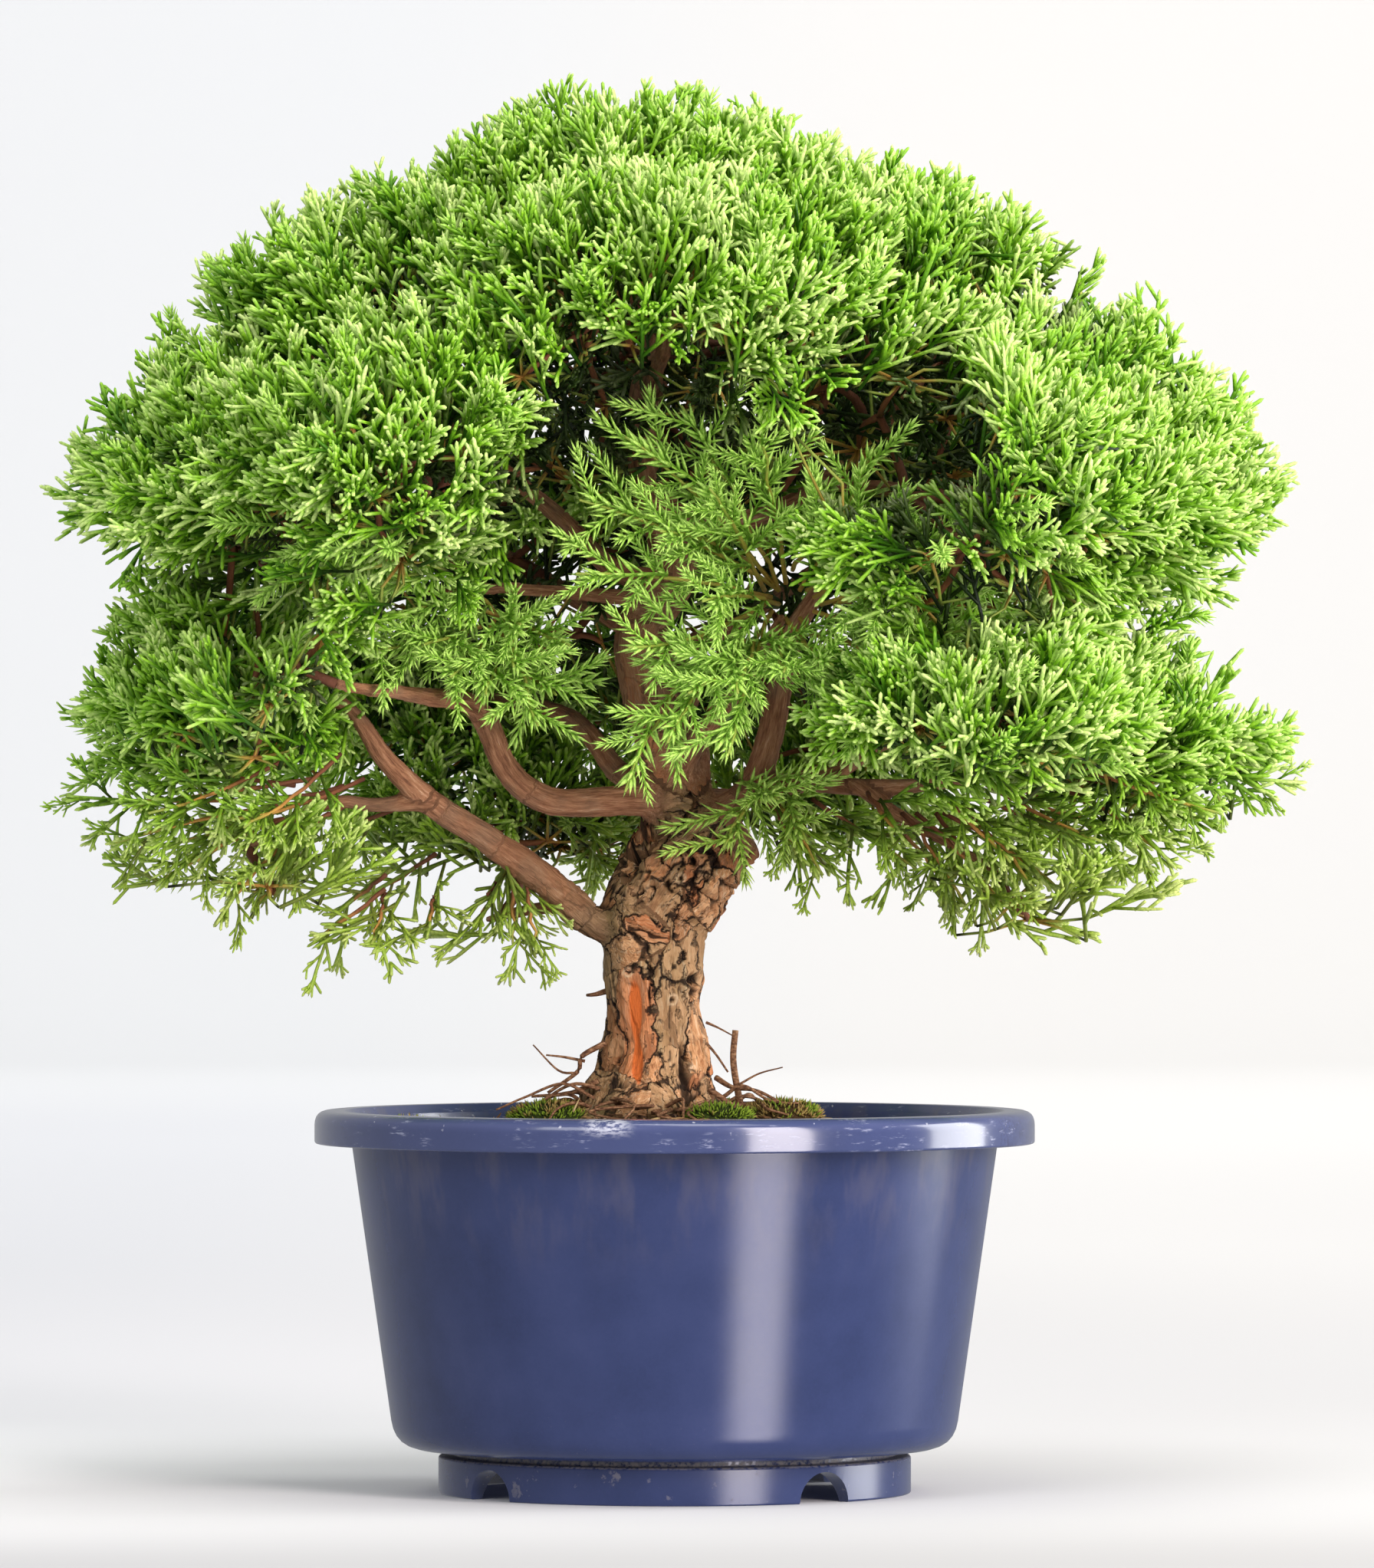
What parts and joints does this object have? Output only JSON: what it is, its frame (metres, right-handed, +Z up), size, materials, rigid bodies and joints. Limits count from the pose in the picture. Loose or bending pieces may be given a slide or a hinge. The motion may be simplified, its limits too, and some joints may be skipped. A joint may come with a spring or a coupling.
{
  "type": "bonsai tree in a pot",
  "caption": "Small bonsai juniper with a thick flaking trunk and a broad domed crown, in a round tapered training pot with a flat rim and a foot ring with arches.",
  "frame": {"origin": "on the ground, under the middle of the pot and of the crown", "axes": "+Z up, the tallest way; -Y is the front, and Y the shallowest way; +X to the right seen from the front"},
  "size_m": [0.3635, 0.334, 0.411],
  "materials": {
    "pot_plastic": "satin",
    "soil": "matte",
    "bark": "matte",
    "leaves": "satin",
    "moss": "matte"
  },
  "bodies": {
    "root": {"pot": "pot_plastic", "soil": "soil", "trunk_and_branches": "bark", "moss_left": "moss", "moss_front": "moss", "moss_right": "moss", "moss_far_left": "moss", "moss_back": "moss", "foliage_crown_top": "leaves", "foliage_crown_front": "leaves", "foliage_crown_back": "leaves", "foliage_crown_left": "leaves", "foliage_crown_right": "leaves", "foliage_upper_left": "leaves", "foliage_upper_right": "leaves", "foliage_upper_front_left": "leaves", "foliage_upper_front_right": "leaves", "foliage_upper_back_left": "leaves", "foliage_upper_back_right": "leaves", "foliage_upper_back": "leaves", "foliage_mid_left": "leaves", "foliage_mid_right": "leaves", "foliage_mid_front_left": "leaves", "foliage_mid_front_right": "leaves", "foliage_mid_back_left": "leaves", "foliage_mid_back_right": "leaves", "foliage_mid_back": "leaves", "foliage_low_left": "leaves", "foliage_low_right": "leaves", "foliage_low_snag": "leaves", "foliage_front_sprigs": "leaves", "foliage_elbow_sprigs": "leaves"}
  },
  "joints": []
}
